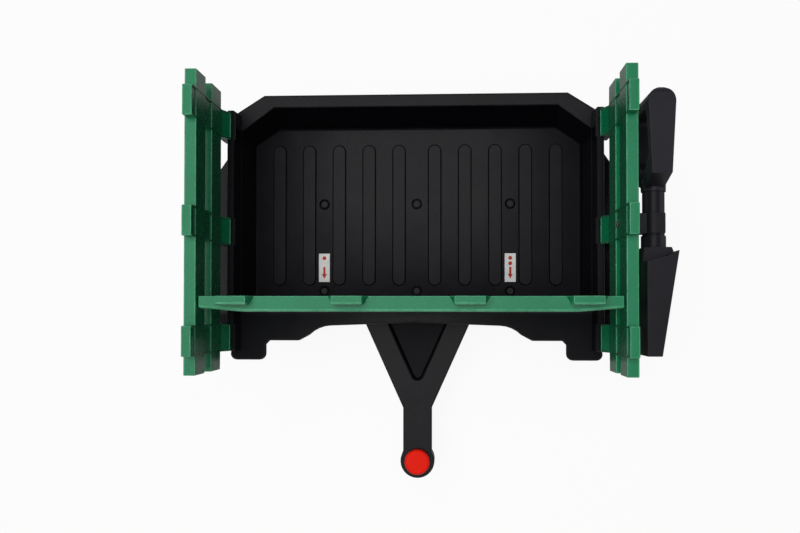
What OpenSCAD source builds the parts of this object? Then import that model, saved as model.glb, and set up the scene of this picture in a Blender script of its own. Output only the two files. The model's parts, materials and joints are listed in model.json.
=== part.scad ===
// Ride-on toy trailer: a moulded tub on two wheels with stake racks on three sides,
// a forked drawbar with a hitch pin, and a toy shovel clipped to the right rack.
// Millimetres. +X is the right side, -Y is the drawbar end, +Z is up.
// Places along Y are worked out from the axle. The whole model then moves along Y, so that
// its origin is on the ground under the middle of its overall box.

/* [Tub] */
// Depth of the basin, from the deck down to the cargo floor
deck_h = 68; // [58:1:78]
// Height of the side walls above the deck
side_h = 34; // [30:1:44]
// Half width of the cargo floor
floor_half = 219; // [200:1:235]
// Thickness of the tub's walls
wall = 4; // [3:0.5:5]
// Thickness of the side walls above the deck
side_t = 8.5; // [7:0.5:11]
// Slope of each side wall, as its lean from floor to top
side_lean = 7; // [3:0.5:12]
// Slope of the rear wall, as its lean from floor to rim
rear_lean = 14.7; // [6:0.1:22]
// Width of the flat rear rim
rim_w = 16.2; // [12:0.1:22]
// From the axle back to the outer edge of the rear rim
rear_reach = 194.5; // [180:0.5:210]
// From the axle forward to the inside of the front wall
front_wall_y = 68.5; // [60:0.5:74]
// Thickness of the front wall above the deck
front_t = 12; // [11:0.5:14]
// From the axle forward to the front corners of the apron
apron_reach = 146.3; // [135:0.1:160]
// Half width over the fenders
fender_half = 282; // [272:1:292]
// Raised height of the floor ribs
rib_h = 2.5; // [1:0.5:4]

/* [Racks] */
// Thickness of the slats
slat_t = 13.6; // [11:0.1:16]
// Thickness of the posts
post_t = 11; // [9:0.1:13]
// Width of the posts
post_w = 34; // [30:0.5:40]
// Distance between the posts of a side rack
post_pitch = 132.3; // [118:0.1:140]
// Length of the side slats
slat_len = 342; // [325:0.1:360]
// Height of the foot under the lower slat
foot_h = 24; // [18:1:32]
// Height of the lower slat
low_slat_h = 44; // [34:0.5:54]
// Clear gap between the two slats
slat_gap = 29; // [25:0.5:36]
// Height of the upper slat
up_slat_h = 40.5; // [32:0.5:50]
// How far the posts stand above the upper slat
post_rise = 19; // [12:0.5:26]
// Wall thickness of the hollow posts and feet
shell = 2.2; // [1.6:0.1:3]
// Depth of the tongue under each foot
tongue_h = 23; // [16:1:25]

/* [Wheels] */
// Outside diameter of the tyres
wheel_d = 180; // [165:1:200]
// Width of the tyres
tyre_w = 48; // [42:1:54]
// Diameter of the rim under the tyre
rim_d = 112; // [98:1:120]
// Diameter of the axle
axle_d = 10; // [8:0.5:12]

/* [Drawbar] */
// From the axle forward to the hitch pin
hitch_reach = 288.6; // [265:0.1:320]
// Diameter of the hitch head
head_d = 46.4; // [42:0.1:54]
// Width of the neck
neck_w = 39; // [34:0.5:44]
// Thickness of the drawbar
bar_t = 26; // [22:1:30]
// Diameter of the hitch pin
pin_d = 12; // [9:0.5:15]
// Diameter of the pin's knob
knob_d = 34.4; // [28:0.1:42]
// Free length of the pin under the hitch head
pin_free = 32; // [24:1:40]

/* [Shovel] */
// Diameter of the shaft
shaft_d = 25; // [22:0.5:29]
// Width of the blade
blade_w = 104; // [88:1:116]
// Length of the blade
blade_len = 121; // [106:1:134]
// Depth of the scoop at its closed end
blade_depth = 35; // [30:1:42]
// Outside width of the grip
grip_w = 98; // [86:1:110]
// Length of the grip
grip_len = 110; // [98:0.5:120]

/* [Fits] */
// Radial clearance of a turning or sliding round fit
run_fit = 0.05; // [0.03:0.01:0.08]
// Gap round a tongue in its pocket
slip_fit = 0.4; // [0.3:0.05:0.6]
// Gap between a loose piece and its neighbour
loose_gap = 0.3; // [0.3:0.05:0.5]

/* [Hidden] */
$fn = 64;

plastic_black = [0.10, 0.10, 0.11];
rack_green = [0.18, 0.45, 0.32];
knob_red = [0.85, 0.13, 0.08];
steel = [0.72, 0.73, 0.75];
label_white = [0.88, 0.88, 0.87];
rim_grey = [0.62, 0.63, 0.62];
nylon = [0.90, 0.89, 0.84];
eps = 0.05;
cut = 1;

// Middle of the overall box, measured from the axle
hitch_y = -hitch_reach;
front_reach = hitch_reach + head_d / 2;
mid_shift = (front_reach - rear_reach) / 2;

// Heights: the fenders clear the tyres, and the floor hangs below the deck
deck_t = 4;
edge_h = 5;
edge_t = 3;
fender_gap = 5;
deck_z = wheel_d + fender_gap + edge_h + deck_t;
floor_z = deck_z - deck_h;
floor_under = floor_z - wall;
side_z = deck_z + side_h;

// Half widths and lengths of the tub
deck_in = floor_half + side_lean * deck_h / (deck_h + side_h);
side_in = floor_half + side_lean;
side_out = side_in + side_t;
rear_in = rear_reach - rim_w;
floor_rear = rear_in - rear_lean;
front_out = front_wall_y + front_t;

// Cut-off rear corners: width and depth at the rim's inside, at its outside and at the floor
corner_in = [42, 30];
corner_out = [40, 24];
corner_floor = [33, 23.6];

// Deck: the fender's flat length, its slanted ends, and the horns of the apron
fender_flat = 66;
flare_y = 98;
flare_w = 18;
fender_rear = 124;
horn_len = 22.3;
horn_bulge = 3;
horn_round = 8;
horn_in = side_out - 42.5;
flat_y = apron_reach - 24.8;
flat_in = horn_in - 43;
hollow_y = front_out + 17.9;
hollow_r = 40;
hollow_at = [flat_in - hollow_r - 2, -hollow_y - hollow_r - 4];
hollow_arc = [45, 88];

// Cargo floor: ribs in shallow grooves, sunk screws, and labels between two ribs
rib_w = 15.8;
rib_groove = [1.2, 1.2];
rib_pitch = 40.5;
rib_first = 24;
rib_rear = floor_rear - 24;
rib_front = 20 - front_wall_y;
rib_last = floor((floor_half - rib_first - rib_w) / rib_pitch);
screw_x = rib_first + 2.5 * rib_pitch;
screw_rows = [60.6, 11.5 - front_wall_y];
screw_bore_d = 14.4;
screw_head_d = 9.4;
screw_head_h = 2.6;
screw_sink = wall / 2;
screw_d = 5;
screw_grip = 11;
label_size = [14.8, 38.4, 0.4];
label_at = [screw_x, 43.2 - front_wall_y];

// Side racks: the rear post stands just ahead of the side wall's rear end
post_half = post_w / 2;
post_recess = 1.2;
side_rear = rear_reach - corner_out[1] - 2;
rack_inset = 3.5;
rack_mid = side_rear - rack_inset - post_half - post_pitch;
side_posts = [for (i = [-1, 0, 1]) rack_mid + i * post_pitch];
side_front = side_posts[0] - post_half - eps;
rack_in = side_out + 1.9;
low_z = side_z + foot_h;
gap_z = low_z + low_slat_h;
up_z = gap_z + slat_gap;
top_z = up_z + up_slat_h;
post_top = top_z + post_rise;
foot_in = side_in + 3.4;
foot_base = 3;
foot_edge = 5;
tongue_t = 10;
tongue_w = post_w - 8;
socket_lip = 2;
socket_wall = 3.2;
socket_floor = 5;

// Front rack, on the front wall
front_rack_y = 1.7 - front_wall_y;
front_slat_t = slat_t + 4;
front_tab_t = slat_t;
front_post_t = post_t - 0.7;
front_half = rack_in - 1.4;
front_taper = 50;
front_drop = 6.7;
front_posts = [24 - floor_half, -67.3, 67.3, floor_half - 24];
front_tongue = [post_w - 10, 5, tongue_h];
front_tongue_y = (front_t - front_tongue[1]) / 2 - front_out;

// Axle and wheels
axle_z = wheel_d / 2;
axle_r = axle_d / 2;
tyre_in = side_out + 1.5;
tyre_out = tyre_in + tyre_w;
tyre_mid = (tyre_in + tyre_out) / 2;
rim_r = rim_d / 2;
hub_wall = 10;
hub_r = axle_r + hub_wall;
cup_room = 7;
cup_r = hub_r + cup_room;
cup_t = 3;
ear_inset = 7;
ear_out = floor_half - ear_inset;
ear_t = 14;
ear_r = 20;
bush_r = axle_r + 4;
bush_flange = 2.5;
washer_t = 1.5;
hub_in = ear_out + bush_flange + washer_t + 2 * loose_gap;
hub_out = tyre_out - 2;
cap_at = hub_out + washer_t + 2 * loose_gap;
axle_end = cap_at + 4;
axle_cap_t = 1;
hub_face = axle_end + axle_cap_t + 5.9;

// Underframe and drawbar
plate_t = 5;
boss_d = 16;
boss_h = 15;
plate_edge = 16;
saddle_h = 18;
saddle_y = [-front_wall_y - 15.5, 24.5 - front_wall_y];
bar_top = floor_under - saddle_h;
bar_under = bar_top - bar_t;
head_drop = 2;
head_under = bar_under - head_drop;
arm_slope = 0.45;
neck_len = 72.6;
neck_at = hitch_y + neck_len;
saddle_half = neck_w / 2 + arm_slope * (saddle_y[1] - neck_at);
bolt_x = 46;
bolt_y = saddle_y[0] + 18;
bolt_d = 8;
bolt_grip = 11;
recess_r = 8.5;
recess_depth = 11;
recess_from_neck = 46.5;
recess_y = neck_at + recess_from_neck;
leg_r = 13;
leg_from_pin = 42;
leg_y = hitch_y + leg_from_pin;
knob_h = 13;
knob_hold = 8;
knob_z = bar_top + loose_gap;
nose_d = pin_d - 1;

// Shovel, clipped to the middle post of the right rack
shovel_z = gap_z + slat_gap / 2;
shaft_r = shaft_d / 2;
shaft_room = 14;
shaft_x = rack_in + slat_t + shaft_room + shaft_r;
clip_y = rack_mid;
clip_len = 23;
clip_wall = 3;
clip_back = slat_gap / 2 - 2.5;
clip_screw_d = 4;
clip_head_d = 8;
clip_screw_gap = slat_gap - 13;
clip_screw_grip = 8;
socket_r = shaft_r + 1.5;
socket_from_clip = 13.7;
socket_y = clip_y - socket_from_clip;
socket_len = 13.8;
shaft_hold = 10;
blade_y = socket_y - socket_len;
blade_t = 2.5;
blade_tip = 16.5;
blade_end = [17, 11, 5];
blade_bend = 23;
blade_neck_h = 48;
blade_neck_half = socket_r + 1.5;
blade_room = 9;
blade_back = rack_in + slat_t + blade_room;
blade_out = blade_back + blade_depth;
grip_from_clip = 36.3;
grip_y = clip_y + grip_from_clip;
grip_end = grip_y + grip_len;
grip_hand = 15.5;
grip_neck = 10.5;
grip_arm = 12;
grip_bar = 22;
grip_root = 10;
collar_len = 14;
shoulder_at = grip_y + 5;
shoulder_len = 10.5;
shaft_ends = [socket_y - shaft_hold, grip_y + shaft_hold];
shovel_screw_d = 4;
shovel_head_d = 7;
shovel_seat = 0.6 - socket_r;
shovel_screw_y = [socket_y - shaft_hold / 2, grip_y + shaft_hold / 2];

// Moves a piece from axle-based places to the model's origin
module place() {
    translate([0, mid_shift, 0]) children();
}

// Draws a piece on the right, and its mirror image on the left
module both_sides() {
    children();
    mirror([1, 0, 0]) children();
}

// Turns a right-hand piece into the one for the given side: 1 right, -1 left
module on_side(side) {
    if (side > 0) children();
    else mirror([1, 0, 0]) children();
}

// Box between two corners
module block(low, high) {
    translate(low) cube(high - low);
}

// Rounded slot lying along Y between two ends
module stadium(width, y_low, y_high) {
    translate([-width / 2, y_low + width / 2]) square([width, y_high - y_low - width]);
    for (y = [y_low + width / 2, y_high - width / 2])
        translate([0, y]) circle(d = width);
}

// Cylinder along X from one place to another, on the axle's line
module axle_tube(radius, x_low, x_high) {
    translate([x_low, 0, axle_z]) rotate([0, 90, 0]) cylinder(r = radius, h = x_high - x_low);
}

// Plan of the basin at one level: half width, rear edge, front edge and cut corner
module basin_plan(half, rear, front, corner) {
    polygon([[half, front], [half, rear - corner[1]], [half - corner[0], rear],
        [corner[0] - half, rear], [-half, rear - corner[1]], [-half, front]]);
}

// Drafted basin between two levels, grown outwards by the wall
module basin(grow, z_low, z_high) {
    hull() {
        translate([0, 0, z_low]) linear_extrude(eps)
            basin_plan(floor_half + grow, floor_rear + grow, -front_wall_y - grow, corner_floor);
        translate([0, 0, z_high - eps]) linear_extrude(eps)
            basin_plan(deck_in + grow, rear_in + grow, -front_wall_y - grow, corner_in);
    }
}

// Points of an arc about a centre, between two angles
function arc(centre, radius, from, to, steps) =
    [for (i = [0 : steps]) centre + radius * [cos(from + (to - from) * i / steps),
        sin(from + (to - from) * i / steps)]];

// Right half of the deck's outline, in four stretches from the rear to the front
rim_edge = [[0, rear_reach], [side_out - corner_out[0], rear_reach],
    [side_out - 2, rear_reach - corner_out[1]], [side_out, side_rear]];
fender_edge = [[side_out, fender_rear], [side_out + flare_w, flare_y], [fender_half, fender_flat],
    [fender_half, -fender_flat], [side_out + flare_w, -flare_y], [side_out, horn_len - apron_reach]];
horn_edge = concat(
    arc([side_out + horn_bulge - horn_round, horn_round - apron_reach], horn_round, 0, -90, 4),
    arc([horn_in + horn_round, horn_round - apron_reach], horn_round, -90, -180, 4));
apron_edge = concat([[horn_in, -flat_y - 5], [horn_in - 5, -flat_y], [flat_in, -flat_y]],
    arc(hollow_at, hollow_r, hollow_arc[0], hollow_arc[1], 4), [[0, -hollow_y]]);

module deck_plan() {
    right = concat(rim_edge, fender_edge, horn_edge, apron_edge);
    left = [for (i = [len(right) - 2 : -1 : 1]) [-right[i][0], right[i][1]]];
    polygon(concat(right, left));
}

// Flat deck with a turned-down edge
module deck() {
    translate([0, 0, deck_z - deck_t]) linear_extrude(deck_t) deck_plan();
    translate([0, 0, deck_z - deck_t - edge_h]) linear_extrude(edge_h + eps) difference() {
        deck_plan();
        offset(delta = -edge_t) deck_plan();
    }
}

// Right side wall above the deck, with the three sockets for the rack's feet
module side_wall() {
    translate([0, side_rear, 0]) rotate([90, 0, 0]) linear_extrude(side_rear - side_front)
        polygon([[deck_in, deck_z - deck_t], [side_in, side_z], [side_out, side_z],
            [side_out, deck_z - deck_t]]);
    for (y = side_posts)
        block([side_in - socket_lip, y - post_half, side_z - tongue_h - socket_floor],
            [foot_in + tongue_t + socket_wall, y + post_half, side_z]);
}

// Tongue under a side post, or the pocket that holds it when it is grown
module side_tongue(y, grow) {
    block([foot_in - grow, y - tongue_w / 2 - grow, side_z - tongue_h - grow],
        [foot_in + tongue_t + grow, y + tongue_w / 2 + grow, side_z + foot_base]);
}

module front_tongue(x, grow) {
    translate([x - front_tongue[0] / 2 - grow, front_tongue_y - grow, side_z - front_tongue[2] - grow])
        cube([front_tongue[0] + 2 * grow, front_tongue[1] + 2 * grow, front_tongue[2] + grow + foot_base]);
}

// Ribs of the floor, grown sideways, between two heights over the floor
module floor_ribs(grow, low, high) {
    for (i = [0 : rib_last])
        both_sides()
            translate([rib_first + i * rib_pitch, 0, floor_z + low])
                linear_extrude(high - low)
                    stadium(rib_w + 2 * grow, rib_front - grow, rib_rear + grow);
}

// Calls its children at each of the six floor screws
module at_screws() {
    for (x = [-screw_x, 0, screw_x], y = screw_rows)
        translate([x, y, 0]) children();
}

module tub() {
    color(plastic_black) place() difference() {
        union() {
            difference() {
                union() {
                    basin(wall, floor_under, deck_z);
                    deck();
                    both_sides() side_wall();
                    block([-side_in - eps, -front_out, deck_z - deck_t],
                        [side_in + eps, -front_wall_y, side_z]);
                }
                basin(0, floor_z, deck_z + eps);
                floor_ribs(rib_groove[0], -rib_groove[1], cut);
            }
            floor_ribs(0, -rib_groove[1] - eps, rib_h);
        }
        at_screws() {
            translate([0, 0, floor_under - cut])
                cylinder(d = screw_d + 2 * loose_gap, h = wall + 2 * cut);
            translate([0, 0, floor_z - screw_sink]) cylinder(d = screw_bore_d, h = screw_sink + cut);
        }
        both_sides() for (y = side_posts) side_tongue(y, slip_fit);
        for (x = front_posts) front_tongue(x, slip_fit);
    }
}

// Moulded frame under the floor: plate, screw bosses, axle ears and the drawbar's saddle
module underframe() {
    plate_half = screw_x + plate_edge;
    color(plastic_black) place() difference() {
        union() {
            block([-plate_half, screw_rows[1] - plate_edge, floor_under - plate_t],
                [plate_half, screw_rows[0] + plate_edge, floor_under]);
            block([-ear_out, -ear_r, floor_under - plate_t], [ear_out, ear_r, floor_under]);
            block([-saddle_half, saddle_y[0], bar_top], [saddle_half, saddle_y[1], floor_under]);
            at_screws() translate([0, 0, floor_under - boss_h]) cylinder(d = boss_d, h = boss_h);
            both_sides() {
                block([ear_out - ear_t, -ear_r, axle_z], [ear_out, ear_r, floor_under]);
                axle_tube(ear_r, ear_out - ear_t, ear_out);
            }
        }
        both_sides() axle_tube(bush_r, ear_out - ear_t - cut, ear_out + cut);
        at_screws() translate([0, 0, floor_under - screw_grip - cut])
            cylinder(d = screw_d, h = screw_grip + 2 * cut);
        both_sides() translate([bolt_x, bolt_y, bar_top - cut])
            cylinder(d = bolt_d, h = bolt_grip + 2 * cut);
    }
}

// Six screws through the floor, each with its head sunk in a round bore
module floor_screws() {
    color(plastic_black) place() at_screws() {
        translate([0, 0, floor_z - screw_sink]) cylinder(d = screw_head_d, h = screw_head_h);
        translate([0, 0, floor_under - screw_grip])
            cylinder(d = screw_d, h = wall - screw_sink + screw_grip + eps);
    }
}

// Side label on the cargo floor
module label(side) {
    color(label_white) place()
        translate([side * label_at[0] - label_size[0] / 2, label_at[1] - label_size[1] / 2, floor_z])
            cube(label_size);
}

// Triangular recess between the arms, rounded towards the hitch
module recess_plan() {
    lean = atan(arm_slope);
    x_low = recess_r * cos(lean);
    y_low = recess_y - recess_r * sin(lean);
    y_high = saddle_y[0];
    x_high = x_low + arm_slope * (y_high - y_low);
    polygon([[x_high, y_high], [x_low, y_low], [-x_low, y_low], [-x_high, y_high]]);
    translate([0, recess_y]) circle(r = recess_r);
}

// Forked drawbar: two arms, neck, hitch head and a rest leg under the neck
module drawbar() {
    color(plastic_black) place() difference() {
        union() {
            translate([0, 0, bar_under]) linear_extrude(bar_t)
                polygon([[saddle_half, saddle_y[1]], [neck_w / 2, neck_at], [neck_w / 2, hitch_y],
                    [-neck_w / 2, hitch_y], [-neck_w / 2, neck_at], [-saddle_half, saddle_y[1]]]);
            translate([0, hitch_y, head_under]) cylinder(d = head_d, h = bar_top - head_under);
            translate([0, leg_y, 0]) cylinder(r = leg_r, h = bar_under + cut);
        }
        translate([0, 0, bar_top - recess_depth]) linear_extrude(recess_depth + cut) recess_plan();
        translate([0, hitch_y, head_under - cut])
            cylinder(d = pin_d + 2 * run_fit, h = bar_top - head_under + 2 * cut);
        both_sides() translate([bolt_x, bolt_y, bar_under - cut])
            cylinder(d = bolt_d + 2 * loose_gap, h = bar_t + 2 * cut);
    }
}

// Two bolts that hold the drawbar up against the saddle
module drawbar_bolts() {
    head_h = 5.5;
    across_flats = bolt_d + 5;
    color(steel) place() both_sides() translate([bolt_x, bolt_y, 0]) {
        translate([0, 0, bar_under - head_h])
            cylinder(d = across_flats * 2 / sqrt(3), h = head_h, $fn = 6);
        translate([0, 0, bar_under - eps]) cylinder(d = bolt_d, h = bar_t + bolt_grip + eps);
    }
}

module axle() {
    color(steel) place() axle_tube(axle_r, -axle_end, axle_end);
}

// Flanged bush in the underframe's ear
module bush(side) {
    color(nylon) place() on_side(side) difference() {
        union() {
            axle_tube(bush_r, ear_out - ear_t, ear_out + eps);
            axle_tube(bush_r + 4, ear_out, ear_out + bush_flange);
        }
        axle_tube(axle_r, ear_out - ear_t - cut, ear_out + bush_flange + cut);
    }
}

// Washers at both ends of each hub
module axle_washers() {
    color(steel) place() both_sides()
        for (x = [ear_out + bush_flange + loose_gap, hub_out + loose_gap])
            difference() {
                axle_tube(hub_r - 2, x, x + washer_t);
                axle_tube(axle_r, x - cut, x + washer_t + cut);
            }
}

// Push-on caps that hold the wheels on the axle
module axle_caps() {
    color(steel) place() both_sides() difference() {
        axle_tube(axle_r + 4, cap_at, axle_end + axle_cap_t);
        axle_tube(axle_r, cap_at - cut, axle_end);
    }
}

// Revolves a profile of radius and place along X about the axle
module about_axle() {
    translate([0, 0, axle_z]) rotate([0, 90, 0]) rotate_extrude($fn = 96) children();
}

// Half-open tyre with rounded shoulders and three grooves round the tread
module tyre_profile() {
    shoulder = 13;
    side = 5;
    tread = 6;
    groove = [2.5, 3];
    groove_pitch = 8;
    outer = wheel_d / 2;
    difference() {
        union() {
            translate([rim_r, tyre_in]) square([outer - shoulder - rim_r, tyre_w]);
            translate([rim_r, tyre_in + shoulder]) square([outer - rim_r, tyre_w - 2 * shoulder]);
            for (x = [tyre_in + shoulder, tyre_out - shoulder])
                translate([outer - shoulder, x]) circle(r = shoulder);
        }
        translate([rim_r - cut, tyre_in + side])
            square([outer - tread - shoulder - rim_r + cut, tyre_w - 2 * side]);
        for (i = [-1, 0, 1])
            translate([outer - groove[0], tyre_mid + i * groove_pitch - groove[1] / 2])
                square([groove[0] + cut, groove[1]]);
    }
}

module tyre(side) {
    color(plastic_black) place() on_side(side) about_axle() tyre_profile();
}

// Wheel centre: barrel, web with five round holes, hub and cup for the hub cap
module rim(side) {
    web_x = tyre_mid + 6;
    web_t = 5;
    barrel_t = 4;
    holes = 5;
    hole_r = (rim_r - barrel_t - cup_r - cup_t) / 2 - 5.5;
    color(rim_grey) place() on_side(side) difference() {
        about_axle() {
            translate([axle_r + run_fit, hub_in]) square([hub_r - axle_r - run_fit, hub_out - hub_in]);
            translate([hub_r - cut, web_x]) square([rim_r - barrel_t - hub_r + 2 * cut, web_t]);
            translate([rim_r - barrel_t, tyre_in + 1]) square([barrel_t, tyre_w - 2]);
            translate([cup_r, web_x]) square([cup_t, hub_out - web_x]);
        }
        for (i = [0 : holes - 1])
            translate([web_x - cut, 0, axle_z]) rotate([i * 360 / holes, 0, 0])
                translate([0, 0, (cup_r + cup_t + rim_r - barrel_t) / 2]) rotate([0, 90, 0])
                    cylinder(r = hole_r, h = web_t + 2 * cut);
    }
}

// Cap pressed into the cup, over the end of the axle
module hub_cap(side) {
    skirt = 8;
    skirt_t = 2.5;
    bevel = [5.5, 4];
    color(plastic_black) place() on_side(side) about_axle() difference() {
        polygon([[0, hub_out - skirt], [cup_r, hub_out - skirt], [cup_r, hub_face - bevel[1]],
            [cup_r - bevel[0], hub_face], [0, hub_face]]);
        polygon([[-cut, hub_out - skirt - cut], [cup_r - skirt_t, hub_out - skirt - cut],
            [cup_r - skirt_t, hub_face - bevel[1] - 1], [cup_r - bevel[0] - 1, hub_face - skirt_t],
            [-cut, hub_face - skirt_t]]);
    }
}

// Steel pin through the hitch head: its top is held in the knob and its nose hangs free
module hitch_pin() {
    tip = 2;
    pin_low = head_under - pin_free;
    color(steel) place() translate([0, hitch_y, 0]) {
        translate([0, 0, head_under]) cylinder(d = pin_d, h = knob_z + knob_hold - head_under);
        translate([0, 0, pin_low + tip]) cylinder(d = nose_d, h = pin_free - tip);
        translate([0, 0, pin_low]) cylinder(d1 = nose_d - 2 * tip, d2 = nose_d, h = tip);
    }
}

module hitch_knob() {
    round_r = 4;
    color(knob_red) place() translate([0, hitch_y, knob_z]) difference() {
        rotate_extrude() {
            square([knob_d / 2, knob_h - round_r]);
            square([knob_d / 2 - round_r, knob_h]);
            translate([knob_d / 2 - round_r, knob_h - round_r]) circle(r = round_r);
        }
        translate([0, 0, -cut]) cylinder(d = pin_d, h = knob_hold + cut);
    }
}

// Pockets in the back of a post where no slat runs, each between two heights
module post_pockets(at, depth, spans) {
    for (span = spans)
        block([at - post_half + shell, -cut, span[0]], [at + post_half - shell, depth, span[1]]);
}

// Right side rack laid out along X with its back at y = 0, before it is turned into place
module side_rack_flat() {
    ends = [rack_mid - slat_len / 2, rack_mid + slat_len / 2];
    spans = [[gap_z, up_z], [top_z, post_top - shell]];
    difference() {
        union() {
            block([ends[0], 0, low_z], [ends[1], slat_t, gap_z]);
            block([ends[0], 0, up_z], [ends[1], slat_t, top_z]);
            for (y = side_posts)
                block([y - post_half, 0, low_z - cut], [y + post_half, post_t, post_top]);
        }
        for (y = side_posts) post_pockets(y, post_recess, spans);
    }
}

// Foot of a side post: it leans in over the side wall and ends in a tongue
module side_foot(y) {
    out = rack_in + post_t;
    panel = [side_z + foot_base, low_z - shell];
    lean_x = rack_in + (foot_in - rack_in) * shell / (low_z - side_z - foot_edge);
    difference() {
        translate([0, y + post_half, 0]) rotate([90, 0, 0]) linear_extrude(post_w)
            polygon([[out, low_z], [rack_in, low_z], [foot_in, side_z + foot_edge], [foot_in, side_z],
                [out, side_z]]);
        translate([post_recess, y + post_half - shell, 0]) rotate([90, 0, 0])
            linear_extrude(post_w - 2 * shell)
                polygon([[foot_in, panel[0]], [foot_in, side_z + foot_edge],
                    [lean_x, panel[1]], [foot_in - 2 * post_recess, panel[1]],
                    [foot_in - 2 * post_recess, panel[0]]]);
    }
    side_tongue(y, 0);
}

module side_rack() {
    translate([rack_in, 0, 0]) mirror([1, -1, 0]) side_rack_flat();
    for (y = side_posts) side_foot(y);
}

module left_side_rack() {
    color(rack_green) place() on_side(-1) side_rack();
}

// The right rack also has two screw holes in its middle post for the shovel's clip
module right_side_rack() {
    color(rack_green) place() difference() {
        side_rack();
        at_clip_screws() translate([rack_in - cut, 0, 0]) rotate([0, 90, 0])
            cylinder(d = clip_screw_d, h = post_t + 2 * cut);
    }
}

// Front slat seen from above: its ends taper to a thinner tab
module front_slat_plan() {
    full = front_half - front_taper;
    polygon([[-front_half, 0], [front_half, 0], [front_half, front_tab_t], [full, front_slat_t],
        [-full, front_slat_t], [-front_half, front_tab_t]]);
}

// Front rack along X, its back towards the cargo
module front_rack() {
    front_up = up_z - front_drop;
    front_top = post_top - front_drop;
    slats = [[low_z, low_slat_h], [front_up, up_slat_h]];
    spans = [[side_z + shell, low_z], [gap_z, front_up], [front_up + up_slat_h, front_top - shell]];
    color(rack_green) place() {
        translate([0, front_rack_y, 0]) mirror([0, 1, 0]) difference() {
            union() {
                for (s = slats)
                    translate([0, 0, s[0]]) linear_extrude(s[1]) front_slat_plan();
                for (x = front_posts)
                    block([x - post_half, 0, side_z], [x + post_half, front_post_t, front_top]);
            }
            for (x = front_posts) post_pockets(x, front_post_t - shell, spans);
        }
        for (x = front_posts) front_tongue(x, 0);
    }
}

// Screws of the shovel's clip, above each other on the middle post
module at_clip_screws() {
    for (i = [-1, 1])
        translate([0, clip_y, shovel_z + i * clip_screw_gap / 2]) children();
}

// Open clip for the shaft, on the outside of the middle post
module shovel_clip() {
    seat_r = shaft_r + loose_gap;
    post_face = rack_in + post_t;
    arm = seat_r + clip_wall;
    color(plastic_black) place() difference() {
        union() {
            block([post_face, clip_y - clip_len / 2, shovel_z - clip_back],
                [shaft_x, clip_y + clip_len / 2, shovel_z + clip_back]);
            translate([shaft_x, clip_y + clip_len / 2, shovel_z]) rotate([90, 0, 0])
                cylinder(r = arm, h = clip_len);
            block([shaft_x, clip_y - clip_len / 2, shovel_z - arm],
                [shaft_x + shaft_r - 2, clip_y + clip_len / 2, shovel_z + arm]);
        }
        translate([shaft_x, clip_y + clip_len / 2 + cut, shovel_z]) rotate([90, 0, 0])
            cylinder(r = seat_r, h = clip_len + 2 * cut);
        block([shaft_x, clip_y - clip_len / 2 - cut, shovel_z - seat_r],
            [shaft_x + 2 * shaft_r, clip_y + clip_len / 2 + cut, shovel_z + seat_r]);
        at_clip_screws() translate([post_face - cut, 0, 0]) rotate([0, 90, 0])
            cylinder(d = clip_screw_d, h = clip_screw_grip + 2 * cut);
    }
}

module clip_screws() {
    color(steel) place() at_clip_screws() translate([rack_in, 0, 0]) rotate([0, 90, 0]) {
        cylinder(d = clip_head_d, h = post_recess);
        cylinder(d = clip_screw_d, h = post_t + clip_screw_grip);
    }
}

// Cylinder along the shovel's shaft
module along_shaft(radius, y_low, y_high) {
    translate([shaft_x, y_high, shovel_z]) rotate([90, 0, 0]) cylinder(r = radius, h = y_high - y_low);
}

// Hole for a screw up into the shaft, with a flat seat for its head, from a reach below the axis
module shovel_screw_hole(y, reach) {
    translate([shaft_x, y, shovel_z - reach]) {
        cylinder(d = shovel_screw_d, h = reach);
        cylinder(d = shovel_head_d + 2 * loose_gap, h = reach + shovel_seat);
    }
}

// Scoop that is shallow at its tip, its skewed and bent closed end, and the socket that takes the shaft
module shovel_blade() {
    tip_y = blade_y - blade_len;
    low = shovel_z - blade_w / 2;
    end_wall = [[blade_back, blade_y - blade_end[0]], [blade_back + blade_bend, blade_y - blade_end[1]],
        [blade_out, blade_y - blade_end[2]]];
    color(plastic_black) place() difference() {
        union() {
            difference() {
                translate([0, 0, low]) linear_extrude(blade_w)
                    polygon(concat(end_wall, [[blade_back + blade_tip, tip_y], [blade_back, tip_y]]));
                translate([blade_t, -blade_t, low + blade_t]) linear_extrude(blade_w - 2 * blade_t)
                    polygon(concat(end_wall, [[blade_out, tip_y], [blade_back, tip_y]]));
            }
            translate([0, 0, shovel_z - blade_neck_h / 2]) linear_extrude(blade_neck_h)
                polygon(concat(end_wall, [[shaft_x + blade_neck_half, blade_y],
                    [shaft_x - blade_neck_half, blade_y]]));
            along_shaft(socket_r, blade_y - cut, socket_y);
        }
        along_shaft(shaft_r, shaft_ends[0], socket_y + cut);
        shovel_screw_hole(shovel_screw_y[0], socket_r + cut);
    }
}

module shovel_shaft() {
    color(plastic_black) place() difference() {
        along_shaft(shaft_r, shaft_ends[0], shaft_ends[1]);
        for (y = shovel_screw_y)
            translate([shaft_x, y, shovel_z - shaft_r - cut])
                cylinder(d = shovel_screw_d, h = shaft_r + cut);
    }
}

// Outline of the grip seen from the side, along X: flared shoulders and a rounded end
module grip_outline() {
    half = grip_w / 2;
    end_r = 6;
    near = shoulder_at;
    wide = near + shoulder_len;
    polygon([[near, socket_r], [wide, half], [grip_end - end_r, half], [grip_end, half - end_r],
        [grip_end, end_r - half], [grip_end - end_r, -half], [wide, -half], [near, -socket_r]]);
    for (i = [-1, 1])
        translate([grip_end - end_r, i * (half - end_r)]) circle(r = end_r);
}

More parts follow.
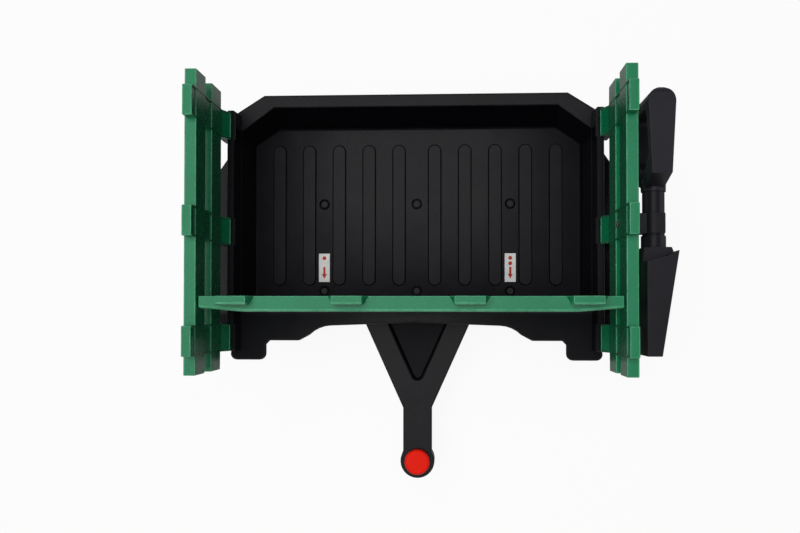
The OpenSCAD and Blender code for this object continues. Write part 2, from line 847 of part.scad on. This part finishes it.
// Finger gap inside the grip
module grip_gap() {
    half = grip_w / 2 - grip_arm;
    near = grip_y + collar_len + grip_root;
    wide = near + shoulder_len + 4;
    far = grip_end - grip_bar;
    near_half = 8;
    gap_r = 12;
    polygon([[near, -near_half], [near, near_half], [wide, half], [far - gap_r, half], [far, half - gap_r],
        [far, gap_r - half], [far - gap_r, -half], [wide, -half]]);
    for (i = [-1, 1])
        translate([far - gap_r, i * (half - gap_r)]) circle(r = gap_r);
}

// D-shaped grip with a round hand bar, thinner at the shaft, and a collar round the shaft's end
module shovel_grip() {
    bar_y = grip_end - grip_hand;
    color(plastic_black) place() difference() {
        union() {
            intersection() {
                translate([shaft_x + grip_hand, 0, shovel_z]) rotate([0, -90, 0]) rotate([0, 0, 90])
                    linear_extrude(2 * grip_hand) difference() {
                        grip_outline();
                        grip_gap();
                    }
                translate([shaft_x, 0, shovel_z - grip_w]) linear_extrude(2 * grip_w)
                    polygon(concat([[-grip_neck, grip_y]], arc([0, bar_y], grip_hand, 180, 0, 16),
                        [[grip_neck, grip_y]]));
            }
            along_shaft(socket_r, grip_y, grip_y + collar_len);
        }
        along_shaft(shaft_r, grip_y - cut, shaft_ends[1]);
        shovel_screw_hole(shovel_screw_y[1], grip_w);
    }
}

// Screws that hold the shaft in the blade's socket and in the grip
module shovel_screws() {
    head_t = 1.5;
    color(steel) place() for (y = shovel_screw_y)
        translate([shaft_x, y, shovel_z + shovel_seat - head_t]) {
            cylinder(d = shovel_head_d, h = head_t);
            cylinder(d = shovel_screw_d, h = head_t - shovel_seat - cut);
        }
}

module left_label() { label(-1); }
module right_label() { label(1); }
module left_bush() { bush(-1); }
module right_bush() { bush(1); }
module left_tyre() { tyre(-1); }
module right_tyre() { tyre(1); }
module left_rim() { rim(-1); }
module right_rim() { rim(1); }
module left_hub_cap() { hub_cap(-1); }
module right_hub_cap() { hub_cap(1); }

tub();
underframe();
floor_screws();
left_label();
right_label();
drawbar();
drawbar_bolts();
axle();
left_bush();
right_bush();
axle_washers();
axle_caps();
left_tyre();
left_rim();
left_hub_cap();
right_tyre();
right_rim();
right_hub_cap();
hitch_pin();
hitch_knob();
left_side_rack();
right_side_rack();
front_rack();
shovel_clip();
clip_screws();
shovel_blade();
shovel_shaft();
shovel_grip();
shovel_screws();
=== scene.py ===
"""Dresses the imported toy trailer: rounded mouldings, printed labels, plastics and a studio."""
import json
import math

import bmesh
import bpy
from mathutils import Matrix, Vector


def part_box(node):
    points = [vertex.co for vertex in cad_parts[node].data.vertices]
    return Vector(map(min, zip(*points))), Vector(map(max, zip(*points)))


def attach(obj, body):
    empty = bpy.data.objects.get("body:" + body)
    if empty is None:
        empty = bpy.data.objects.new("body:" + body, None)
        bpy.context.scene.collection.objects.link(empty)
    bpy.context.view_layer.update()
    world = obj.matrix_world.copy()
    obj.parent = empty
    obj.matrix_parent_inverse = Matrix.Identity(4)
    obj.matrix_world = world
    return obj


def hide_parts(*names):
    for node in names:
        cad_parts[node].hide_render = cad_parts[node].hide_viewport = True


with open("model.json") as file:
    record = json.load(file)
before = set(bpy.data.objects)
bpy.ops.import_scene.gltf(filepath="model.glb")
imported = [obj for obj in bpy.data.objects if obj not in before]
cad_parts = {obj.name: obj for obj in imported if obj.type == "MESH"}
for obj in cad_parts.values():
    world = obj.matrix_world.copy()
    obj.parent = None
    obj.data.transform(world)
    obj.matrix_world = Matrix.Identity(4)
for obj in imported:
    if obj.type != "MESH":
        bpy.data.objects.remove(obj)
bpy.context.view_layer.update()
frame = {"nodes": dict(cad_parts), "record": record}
NODES = frame["nodes"]
BODY_OF = {n: b for b, names in frame["record"]["behaviour"]["bodies"].items() for n in names}
SLOT_OF = {s["node"]: s["material_slot"] for s in frame["record"]["subparts"]}

MM = 0.001
WELD = 0.1 * MM
# Marks bevel faces for the paler edge colour: scuffing plus a painted highlight
ROUNDING = "rounding"

# Angles between faces, and limits for the dot products of unit vectors
SHARP = math.radians(28)
FLAT = math.radians(0.4)
STRAIGHT_ON = -0.85
LEVEL = 0.99
FACING = 0.95
SIDEWAYS = 0.9
UPRIGHT = 0.1

# Widths that fit along an edge with a rounding at each of its ends, and a little to spare
ROOM_NEEDED = 2.1

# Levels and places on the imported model, in metres
DECK_Z = 194 * MM
LIP_Z = 185 * MM
RACK_LOW = 252 * MM
GROOVE_DEPTH = 1.2 * MM
BORE_DEPTH = 2 * MM
KNOB_RISE = 11.3 * MM
RIB_REACH = 3 * MM
WALL_RISE = 20 * MM
TOP_ZONE = 0.5 * MM
FLOOR_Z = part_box("left_label")[0].z
GROOVE_Z = FLOOR_Z - GROOVE_DEPTH
BORE_Z = FLOOR_Z - BORE_DEPTH
RECESS_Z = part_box("hitch_knob")[0].z - KNOB_RISE
FRONT_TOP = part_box("front_rack")[1].z
APRON_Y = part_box("front_rack")[0].y


# Materials

def map_range(tree, value, low, high, to_low, to_high, ends="LINEAR"):
    """Maps low..high to to_low..to_high, clamped."""
    node = tree.nodes.new("ShaderNodeMapRange")
    node.interpolation_type = ends
    numbers = {"From Min": low, "From Max": high, "To Min": to_low, "To Max": to_high}
    for key, number in numbers.items():
        node.inputs[key].default_value = number
    tree.links.new(value, node.inputs["Value"])
    return node.outputs["Result"]


class Graph:
    """Small helper round a material's node tree."""

    def __init__(self, name):
        self.material = bpy.data.materials.new(name)
        self.material.use_nodes = True
        self.tree = self.material.node_tree
        self.bsdf = self.tree.nodes["Principled BSDF"]
        self.coords = self.add("TexCoord").outputs["Object"]

    def add(self, kind, **settings):
        """Adds a shader node with its settings."""
        node = self.tree.nodes.new("ShaderNode" + kind)
        for key, value in settings.items():
            setattr(node, key, value)
        return node

    def link(self, source, target):
        """Joins an output to an input."""
        self.tree.links.new(source, target)

    def place(self):
        """X, Y and Z of the shaded point."""
        node = self.add("SeparateXYZ")
        self.link(self.coords, node.inputs[0])
        return node.outputs

    def noise(self, scale, detail, rough, stretch=(1, 1, 1)):
        """Noise from 0 to 1, with features of about one over scale metres."""
        mapping = self.add("Mapping")
        mapping.inputs["Scale"].default_value = stretch
        self.link(self.coords, mapping.inputs["Vector"])
        node = self.add("TexNoise")
        node.inputs["Scale"].default_value = scale
        node.inputs["Detail"].default_value = detail
        node.inputs["Roughness"].default_value = rough
        self.link(mapping.outputs["Vector"], node.inputs["Vector"])
        return node.outputs["Fac"]

    def span(self, value, low, high, to_low, to_high):
        """Maps low..high to to_low..to_high, clamped."""
        return map_range(self.tree, value, low, high, to_low, to_high)

    def combine(self, operation, first, *others):
        """Sum or product of sockets."""
        for other in others:
            node = self.add("Math", operation=operation)
            self.link(first, node.inputs[0])
            self.link(other, node.inputs[1])
            first = node.outputs["Value"]
        return first

    def mix(self, factor, first, second):
        """Colour mix; first and second are colours or sockets."""
        node = self.add("Mix", data_type="RGBA")
        self.link(factor, node.inputs["Factor"])
        for key, value in (("A", first), ("B", second)):
            socket = next(s for s in node.inputs if s.name == key and s.type == "RGBA")
            if isinstance(value, tuple):
                socket.default_value = (*value, 1)
            else:
                self.link(value, socket)
        return next(s for s in node.outputs if s.type == "RGBA")

    def bump(self, height, strength, distance, under=None):
        """Normal that follows a height, over the normal of another bump if one is given."""
        node = self.add("Bump")
        node.inputs["Strength"].default_value = strength
        node.inputs["Distance"].default_value = distance
        self.link(height, node.inputs["Height"])
        if under is not None:
            self.link(under, node.inputs["Normal"])
        return node.outputs["Normal"]


def dull_border(g, low, high, border, extra):
    """Roughness to add round the sides and front of a floor whose middle is polished by loads."""
    fade_from, fade_to = 1 * MM, 5 * MM
    x, y, z = g.place()
    middle = g.combine("MULTIPLY", g.span(x, low.x, low.x + border, 0, 1),
                       g.span(x, high.x - border, high.x, 1, 0),
                       g.span(y, low.y, low.y + border, 0, 1))
    level = g.span(z, low.z + fade_from, low.z + fade_to, extra, 0)
    return g.combine("MULTIPLY", g.span(middle, 0, 1, 1, 0), level)


def dull_apron(g, edge_y, extra):
    """Roughness to add on the apron ahead of the front rack, more towards its corners."""
    inner, outer, fade = 0.03, 0.16, 5 * MM
    x, y, _ = g.place()
    aside = g.add("Math", operation="ABSOLUTE")
    g.link(x, aside.inputs[0])
    return g.combine("MULTIPLY", g.span(aside.outputs["Value"], inner, outer, 0, extra),
                     g.span(y, edge_y - fade, edge_y, 1, 0))


def plastic(name, colour, deep, worn_and_highlight, rough, grain=0.10, wear_and_highlight=0.5, gloss=0.5, dull=()):
    """Moulded plastic: cloudy colour, fine spark-eroded grain, and paler roundings that are partly
    scuffing and partly a painted highlight.
    """
    rough_play, faint_rub_and_highlight = 0.03, 0.35
    g = Graph(name)
    g.bsdf.inputs["Specular IOR Level"].default_value = gloss
    cloud = g.span(g.noise(scale=14, detail=5, rough=0.6), 0.35, 0.68, 0, 1)
    base = g.mix(cloud, deep, colour)
    # The paler colour on roundings is a painted highlight along the edges as well as scuffing
    rounding = g.add("Attribute", attribute_name=ROUNDING).outputs["Fac"]
    rub_and_highlight = g.span(g.noise(scale=60, detail=5, rough=0.6), 0.30, 0.62, faint_rub_and_highlight * wear_and_highlight, wear_and_highlight)
    rubbed_and_highlighted = g.combine("MULTIPLY", rounding, rub_and_highlight)
    g.link(g.mix(rubbed_and_highlighted, base, worn_and_highlight), g.bsdf.inputs["Base Color"])
    roughness = g.span(g.noise(scale=45, detail=6, rough=0.65), 0.3, 0.7,
                       rough - rough_play, rough + rough_play)
    for zone, *settings in dull:
        roughness = g.combine("ADD", roughness, zone(g, *settings))
    g.link(roughness, g.bsdf.inputs["Roughness"])
    fine = g.bump(g.noise(scale=1500, detail=3, rough=0.6), grain, distance=0.25 * MM)
    waves = g.noise(scale=30, detail=2, rough=0.5)
    g.link(g.bump(waves, strength=0.03, distance=0.8 * MM, under=fine), g.bsdf.inputs["Normal"])
    return g.material


def metal(name, colour, dull, rough):
    """Zinc-plated steel with a drawn finish and dull patches."""
    smoother, rougher = 0.08, 0.12
    g = Graph(name)
    g.bsdf.inputs["Metallic"].default_value = 1
    patch = g.span(g.noise(scale=160, detail=5, rough=0.6), 0.35, 0.65, 0, 1)
    g.link(g.mix(patch, dull, colour), g.bsdf.inputs["Base Color"])
    streak = g.noise(scale=900, detail=3, rough=0.6, stretch=(0.05, 1, 1))
    g.link(g.span(streak, 0.3, 0.7, rough - smoother, rough + rougher), g.bsdf.inputs["Roughness"])
    g.link(g.bump(streak, strength=0.12, distance=0.1 * MM), g.bsdf.inputs["Normal"])
    return g.material


def vinyl(name, colour, aged):
    """Printed vinyl: slightly aged colour and a faint wave where it lies on the plastic."""
    smooth, rough = 0.36, 0.5
    g = Graph(name)
    age = g.span(g.noise(scale=140, detail=4, rough=0.6), 0.35, 0.7, 0, 1)
    g.link(g.mix(age, aged, colour), g.bsdf.inputs["Base Color"])
    sheen = g.span(g.noise(scale=300, detail=4, rough=0.6), 0.3, 0.7, smooth, rough)
    g.link(sheen, g.bsdf.inputs["Roughness"])
    waves = g.noise(scale=220, detail=2, rough=0.5)
    g.link(g.bump(waves, strength=0.08, distance=0.2 * MM), g.bsdf.inputs["Normal"])
    return g.material


# The third colour of each plastic goes on its roundings: scuffing plus a painted highlight
BLACK = {"colour": (0.0034, 0.0032, 0.0052), "deep": (0.0026, 0.0024, 0.0040),
         "worn_and_highlight": (0.016, 0.016, 0.018), "rough": 0.26, "gloss": 0.33}
BED_LOW = Vector((-0.215, -0.010, FLOOR_Z))
BED_HIGH = Vector((0.215, 0.222, FLOOR_Z))
# A middle out of reach, which leaves all of the drawbar's recess dull
FAR_OFF = Vector((1, 1, RECESS_Z))

MATERIALS = {
    "black_plastic": plastic("black_plastic", **BLACK),
    "tub": plastic("tub_plastic", **BLACK, dull=((dull_border, BED_LOW, BED_HIGH, 0.13, 0.30),
                                                 (dull_apron, APRON_Y, 0.26))),
    "drawbar": plastic("drawbar_plastic", **BLACK,
                       dull=((dull_border, FAR_OFF, FAR_OFF, 0.1, 0.22),)),
    "tyre_plastic": plastic("tyre_plastic", (0.0090, 0.0090, 0.0094), (0.0055, 0.0055, 0.0058),
                            (0.045, 0.044, 0.042), rough=0.56, grain=0.16, wear_and_highlight=0.7),
    "rim_plastic": plastic("rim_plastic", (0.34, 0.35, 0.34), (0.29, 0.30, 0.29),
                           (0.46, 0.46, 0.45), rough=0.42),
    "green_plastic": plastic("green_plastic", (0.006, 0.205, 0.086), (0.004, 0.175, 0.071),
                             (0.10, 0.40, 0.22), rough=0.27, wear_and_highlight=0.9, gloss=0.62),
    "red_plastic": plastic("red_plastic", (0.96, 0.017, 0.005), (0.90, 0.014, 0.004),
                           (0.97, 0.05, 0.02), rough=0.27, gloss=0.18),
    "nylon": plastic("nylon", (0.78, 0.76, 0.68), (0.70, 0.68, 0.60), (0.84, 0.83, 0.77),
                     rough=0.45),
    "steel": metal("steel", (0.60, 0.61, 0.63), (0.42, 0.43, 0.45), rough=0.34),
    "label": vinyl("label", (0.74, 0.74, 0.73), (0.64, 0.63, 0.60)),
    "print": vinyl("label_print", (0.46, 0.035, 0.018), (0.36, 0.025, 0.014)),
}
# Copies of one black plastic, each tone set to how bright that shovel part looks: painted light, most
# on the lighter grip
for node, shade in (("shovel_blade", 0.011), ("shovel_grip", 0.018), ("shovel_shaft", 0.010),
                    ("shovel_clip", 0.009)):
    tone = Vector((shade, 0.96 * shade, 1.3 * shade))
    MATERIALS[node] = plastic(node + "_plastic", tuple(tone), tuple(0.8 * tone),
                              (0.024, 0.024, 0.027), rough=0.38, gloss=0.33)


# Rounded mouldings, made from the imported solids

def add_piece(name, mesh, body, material):
    """Makes a mesh a smooth-shaded piece of the object that rides on a body."""
    mesh.materials.clear()
    mesh.materials.append(material)
    mesh.shade_smooth()
    mesh.set_sharp_from_angle(angle=SHARP)
    piece = bpy.data.objects.new(name, mesh)
    bpy.context.scene.collection.objects.link(piece)
    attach(piece, body)
    return piece


def cleaned(node):
    """The node's mesh with shared corners and one face for each flat side."""
    bm = bmesh.new()
    bm.from_mesh(NODES[node].data)
    bmesh.ops.remove_doubles(bm, verts=bm.verts, dist=WELD)
    bmesh.ops.dissolve_degenerate(bm, edges=bm.edges, dist=WELD / 4)
    bmesh.ops.dissolve_limit(bm, angle_limit=FLAT, verts=bm.verts, edges=bm.edges)
    bm.loops.layers.float.new(ROUNDING)
    return bm


def turn(edge):
    """Angle between an edge's two faces: above 0 on an outer edge, below 0 in a hollow corner."""
    return edge.calc_face_angle_signed(0) if len(edge.link_faces) == 2 else 0


def bevel(bm, edges, width, segments):
    """Rounds edges and gives the new faces."""
    return bmesh.ops.bevel(bm, geom=edges, offset=width, offset_type="OFFSET", segments=segments,
                           profile=0.5, affect="EDGES", clamp_overlap=False)["faces"]


def room(edge):
    """Length of the shortest edge that meets this one at a corner."""
    lengths = [math.inf]
    for vert in edge.verts:
        along = (edge.other_vert(vert).co - vert.co).normalized()
        for other in vert.link_edges:
            way = other.other_vert(vert).co - vert.co
            if other != edge and along.dot(way) > STRAIGHT_ON * way.length:
                lengths.append(way.length)
    return min(lengths)


def round_edges(bm, width, segments, wanted):
    """Rounds the wanted outer edges, less where room is short, and marks the new faces for the paler
    edge colour, scuffing plus painted highlight.
    """
    layer = bm.loops.layers.float[ROUNDING]
    for size in (width, width / 2, width / 4):
        edges = [e for e in bm.edges
                 if turn(e) > SHARP and wanted(e) and room(e) > ROOM_NEEDED * size
                 and not all(f.loops[0][layer] for f in e.link_faces)]
        if not edges:
            continue
        for face in bevel(bm, edges, size, segments):
            for loop in face.loops:
                loop[layer] = 1


def fill_corners(bm, width, segments, wanted):
    """Rounds the wanted hollow corners where there is room."""
    edges = [e for e in bm.edges
             if turn(e) < -SHARP and wanted(e) and room(e) > ROOM_NEEDED * width]
    if edges:
        bevel(bm, edges, width, segments)


def draft(bm, level, inset):
    """Slopes the walls of the recesses whose bottoms lie at a level, by drawing the bottoms in."""
    moves = {}
    for face in bm.faces:
        if face.normal.z < LEVEL or abs(face.calc_center_median().z - level) > WELD:
            continue
        for vert in face.verts:
            walls = [f.normal for f in vert.link_faces
                     if abs(f.normal.z) < UPRIGHT and f.calc_center_median().z > level]
            if walls:
                total = sum(walls, Vector())
                moves[vert] = total * (inset * len(walls) / total.length_squared)
    for vert, move in moves.items():
        vert.co += move
    bm.normal_update()


def dress(node, *rounds, drafts=(), fillets=(), extra=None):
    """Replaces a CAD node by the same moulding with sloped recesses, fillets and rounded edges.

    Rounds and fillets give a width in mm, a number of segments and a test for the edges; drafts
    give a level and an inset in mm; extra adds small forms first.
    """
    bm = cleaned(node)
    if extra:
        extra(bm)
    for level, inset in drafts:
        draft(bm, level, inset * MM)
    for width, segments, wanted in fillets:
        fill_corners(bm, width * MM, segments, wanted)
    for width, segments, wanted in rounds:
        round_edges(bm, width * MM, segments, wanted)
    mesh = bpy.data.meshes.new(node + "_form")
    bm.to_mesh(mesh)
    bm.free()
    material = MATERIALS.get(node, MATERIALS[SLOT_OF[node]])
    piece = add_piece(node + "_form", mesh, BODY_OF[node], material)
    weighted = piece.modifiers.new("even_shading", "WEIGHTED_NORMAL")
    weighted.keep_sharp = True
    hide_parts(node)


def any_edge(edge):
    """Every edge."""
    return True


def on_lip(edge):
    """Top outer edge of the tub's deck, above its turned-down lip."""
    if any(abs(v.co.z - DECK_Z) > WELD for v in edge.verts):
        return False
    lows = [min(v.co.z for v in f.verts) for f in edge.link_faces]
    return any(abs(z - LIP_Z) < WELD for z in lows)


def facing(direction):
    """Picks edges of faces that look the given way."""
    way = Vector(direction)
    return lambda edge: any(f.normal.dot(way) > FACING for f in edge.link_faces)


def on_floor(edge):
    """Edges of the cargo floor's ribs, grooves and screw bores."""
    return all(abs(v.co.z - FLOOR_Z) < RIB_REACH for v in edge.verts)


def wall_foot(edge):
    """Corner between the cargo floor and the walls round it."""
    if any(abs(v.co.z - FLOOR_Z) > WELD for v in edge.verts):
        return False
    return any(v.co.z > FLOOR_Z + WALL_RISE for f in edge.link_faces for v in f.verts)


def add_gussets(bm):
    """Small gussets between the sides of the front posts' tops and the slat they pass through."""
    width, sunk, below_top = 6.5 * MM, 0.2 * MM, 2 * MM
    sides = [f for f in bm.faces if abs(f.normal.x) > SIDEWAYS
             and max(v.co.z for v in f.verts) > FRONT_TOP - TOP_ZONE]
    for side in sides:
        out = math.copysign(1, side.normal.x)
        x = side.verts[0].co.x - out * sunk
        front, rear = (pick(v.co.y for v in side.verts) for pick in (min, max))
        low, high = (pick(v.co.z for v in side.verts) for pick in (min, max))
        low -= sunk
        corners = [bm.verts.new(p) for p in ((x, rear, low), (x + out * width, rear, low),
                                             (x, front, low), (x, rear, high - below_top))]
        faces = [bm.faces.new([corners[i] for i in trio])
                 for trio in ((0, 1, 2), (0, 1, 3), (1, 2, 3), (0, 2, 3))]
        bmesh.ops.recalc_face_normals(bm, faces=faces)


def add_box(bm, low, high):
    """Box between two opposite corners."""
    xs, ys, zs = zip(low, high)
    verts = [bm.verts.new((x, y, z)) for x in xs for y in ys for z in zs]
    rings = ((0, 1, 3, 2), (4, 5, 7, 6), (0, 1, 5, 4), (2, 3, 7, 6), (0, 2, 6, 4), (1, 3, 7, 5))
    faces = [bm.faces.new([verts[i] for i in ring]) for ring in rings]
    bmesh.ops.recalc_face_normals(bm, faces=faces)


def add_post_ribs(bm):
    """Thin ribs along the edges of the side posts, over the slats on the cargo side."""
    width, proud, sunk, below_top = 1.3 * MM, 0.5 * MM, 0.4 * MM, 1 * MM
    top = max(v.co.z for v in bm.verts)
    sides = [f for f in bm.faces if abs(f.normal.y) > SIDEWAYS
             and max(v.co.z for v in f.verts) > top - TOP_ZONE]
    for side in sides:
        edge_y = side.verts[0].co.y
        inner_x = min((v.co.x for v in side.verts), key=abs)
        out = math.copysign(1, inner_x)
        inner_y = edge_y - math.copysign(width, side.normal.y)
        add_box(bm, (inner_x - out * proud, edge_y, RACK_LOW),
                (inner_x + out * sunk, inner_y, top - below_top))


dress("tub", (5, 4, on_lip), (0.5, 2, on_floor), (1.2, 2, any_edge),
      drafts=((GROOVE_Z, 0.55), (BORE_Z, 2.0)), fillets=((4.0, 5, wall_foot),))
dress("underframe", (1.0, 2, any_edge))
dress("floor_screws", (0.9, 3, any_edge))
dress("drawbar", (2.0, 3, facing((0, 0, 1))), (1.0, 2, any_edge), drafts=((RECESS_Z, 3.0),))
dress("left_side_rack", (1.6, 3, facing((-1, 0, 0))), (1.0, 3, any_edge), extra=add_post_ribs)
dress("right_side_rack", (1.6, 3, facing((1, 0, 0))), (1.0, 3, any_edge), extra=add_post_ribs)
dress("front_rack", (3.0, 4, facing((0, -1, 0))), (1.0, 3, any_edge), extra=add_gussets)
dress("shovel_clip", (0.8, 2, any_edge))
dress("shovel_blade", (0.9, 3, any_edge))
dress("shovel_grip", (1.5, 4, any_edge))
dress("shovel_shaft", (0.8, 2, any_edge))
dress("hitch_knob", (0.8, 2, any_edge))
for side in ("left", "right"):
    dress(side + "_rim", (0.8, 2, any_edge))
    dress(side + "_hub_cap", (0.8, 3, any_edge))
    dress(side + "_bush", (0.4, 2, any_edge))
    dress(side + "_tyre", (0.8, 2, any_edge))
for node in ("drawbar_bolts", "axle", "axle_washers", "axle_caps", "hitch_pin", "clip_screws",
             "shovel_screws"):
    dress(node, (0.3, 2, any_edge))


# Printed labels: an arrow to the drawbar and dots for the side

def flat_shape(name, outlines, z, height, body, material):
    """Thin raised shapes from outlines in X and Y."""
    bm = bmesh.new()
    for points in outlines:
        face = bm.faces.new([bm.verts.new((x, y, z)) for x, y in points])
        if face.normal.z < 0:
            face.normal_flip()
        raised = bmesh.ops.extrude_face_region(bm, geom=[face])["geom"]
        tops = [v for v in raised if isinstance(v, bmesh.types.BMVert)]
        bmesh.ops.translate(bm, vec=(0, 0, height), verts=tops)
    bmesh.ops.recalc_face_normals(bm, faces=bm.faces)
    mesh = bpy.data.meshes.new(name)
    bm.to_mesh(mesh)
    bm.free()
    add_piece(name, mesh, body, material)


def disc(x, y, radius):
    """Outline of a round dot."""
    count = 28
    turns = [2 * math.pi * i / count for i in range(count)]
    return [(x + radius * math.cos(a), y + radius * math.sin(a)) for a in turns]


def label_print(side, dots):
    """The print on one side's label, a little sunk into it."""
    first_dot, dot_pitch, dot_radius = 13.0, 7.2, 2.6
    sunk, height = 0.02 * MM, 0.07 * MM
    arrow = [(-1.5, 1), (-1.5, -8.5), (-3.3, -8.5), (0, -15), (3.3, -8.5), (1.5, -8.5), (1.5, 1)]
    low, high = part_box(side + "_label")
    x, y, top = (low.x + high.x) / 2, (low.y + high.y) / 2, high.z
    shapes = [[(x + px * MM, y + py * MM) for px, py in arrow]]
    for i in range(dots):
        shapes.append(disc(x, y + (first_dot - dot_pitch * i) * MM, dot_radius * MM))
    flat_shape(side + "_label_print", shapes, top - sunk, height, "trailer", MATERIALS["print"])


for side, dots in (("left", 1), ("right", 2)):
    dress(side + "_label", (0.15, 2, any_edge))
    label_print(side, dots)


# Camera as fitted to the photo, floor and light

camera = bpy.data.objects.new("camera", bpy.data.cameras.new("camera"))
camera.data.lens = 42.75
camera.data.sensor_width = 36
camera.data.shift_x = -0.0036
camera.data.shift_y = 0.0335
camera.location = (0.04863, -0.02392, 1.40436)
camera.rotation_euler = [math.radians(a) for a in (1.022, 3.019, 0.040)]
bpy.context.scene.collection.objects.link(camera)
bpy.context.scene.camera = camera


def math_node(tree, operation, first, second):
    """Clamped sum or product of two sockets or numbers."""
    node = tree.nodes.new("ShaderNodeMath")
    node.operation = operation
    node.use_clamp = True
    for socket, value in zip(node.inputs, (first, second)):
        if isinstance(value, (int, float)):
            socket.default_value = value
        else:
            tree.links.new(value, socket)
    return node.outputs[0]


def seen_white(tree, lit, white, share, reflected):
    """Shows a share of plain white to the camera and reflections, and the lit shader for the rest."""
    path = tree.nodes.new("ShaderNodeLightPath")
    glossy = math_node(tree, "MULTIPLY", path.outputs["Is Glossy Ray"], reflected)
    seen = math_node(tree, "ADD", path.outputs["Is Camera Ray"],
                     path.outputs["Is Transmission Ray"])
    factor = math_node(tree, "MULTIPLY", math_node(tree, "ADD", seen, glossy), share)
    mix = tree.nodes.new("ShaderNodeMixShader")
    for socket, source in zip(mix.inputs, (factor, lit, white)):
        tree.links.new(source, socket)
    return mix.outputs[0]


def make_floor():
    """White floor just below the wheels that stays pale to the camera and throws back less light."""
    half, drop = 8, 0.5 * MM
    tone_lit, tone_seen = 0.40, 0.95
    mesh = bpy.data.meshes.new("floor")
    corners = [(-half, -half, 0), (half, -half, 0), (half, half, 0), (-half, half, 0)]
    mesh.from_pydata(corners, [], [(0, 1, 2, 3)])
    floor = bpy.data.objects.new("floor", mesh)
    floor.location.z = -drop
    bpy.context.scene.collection.objects.link(floor)
    material = bpy.data.materials.new("floor")
    material.use_nodes = True
    tree = material.node_tree
    bsdf = tree.nodes["Principled BSDF"]
    by_camera = tree.nodes.new("ShaderNodeLightPath").outputs["Is Camera Ray"]
    tree.links.new(map_range(tree, by_camera, 0, 1, tone_lit, tone_seen), bsdf.inputs["Base Color"])
    bsdf.inputs["Roughness"].default_value = 0.9
    bsdf.inputs["Specular IOR Level"].default_value = 0.1
    glow = tree.nodes.new("ShaderNodeEmission")
    shown = seen_white(tree, bsdf.outputs[0], glow.outputs[0], share=0.92, reflected=0.1)
    tree.links.new(shown, tree.nodes["Material Output"].inputs["Surface"])
    mesh.materials.append(material)


def make_world():
    """Dim room whose reflections show a bright ceiling patch and pale lower walls."""
    patch_way = Vector((-0.13, 0.10, 1)).normalized()
    world = bpy.data.worlds.new("studio")
    bpy.context.scene.world = world
    world.use_nodes = True
    tree = world.node_tree
    dim = tree.nodes["Background"]
    dim.inputs["Color"].default_value = (1, 1, 1, 1)
    dim.inputs["Strength"].default_value = 0.05
    white = tree.nodes.new("ShaderNodeBackground")
    white.inputs["Color"].default_value = (1, 1, 1, 1)
    up = tree.nodes.new("ShaderNodeVectorMath")
    up.operation = "DOT_PRODUCT"
    up.inputs[1].default_value = patch_way
    tree.links.new(tree.nodes.new("ShaderNodeTexCoord").outputs["Generated"], up.inputs[0])
    height = up.outputs["Value"]
    overhead = map_range(tree, height, 0.86, 0.995, 0.06, 1, "SMOOTHSTEP")
    walls = map_range(tree, height, 0.25, 0.55, 0.8, 0, "SMOOTHSTEP")
    bright = math_node(tree, "ADD", overhead, walls)
    shown = seen_white(tree, dim.outputs[0], white.outputs[0], share=1, reflected=bright)
    tree.links.new(shown, tree.nodes["World Output"].inputs["Surface"])


def make_lamp():
    """One wide lamp above the trailer, left out of reflections."""
    place, target = Vector((-0.30, 0.15, 2.6)), Vector((0, 0, 0.2))
    lamp = bpy.data.objects.new("top", bpy.data.lights.new("top", "AREA"))
    lamp.data.size = 1.6
    lamp.data.energy = 52
    lamp.location = place
    lamp.rotation_euler = (target - place).to_track_quat("-Z", "Y").to_euler()
    lamp.visible_glossy = False
    bpy.context.scene.collection.objects.link(lamp)


make_floor()
make_world()
make_lamp()
bpy.context.scene.view_settings.view_transform = "Standard"

bpy.context.view_layer.update()
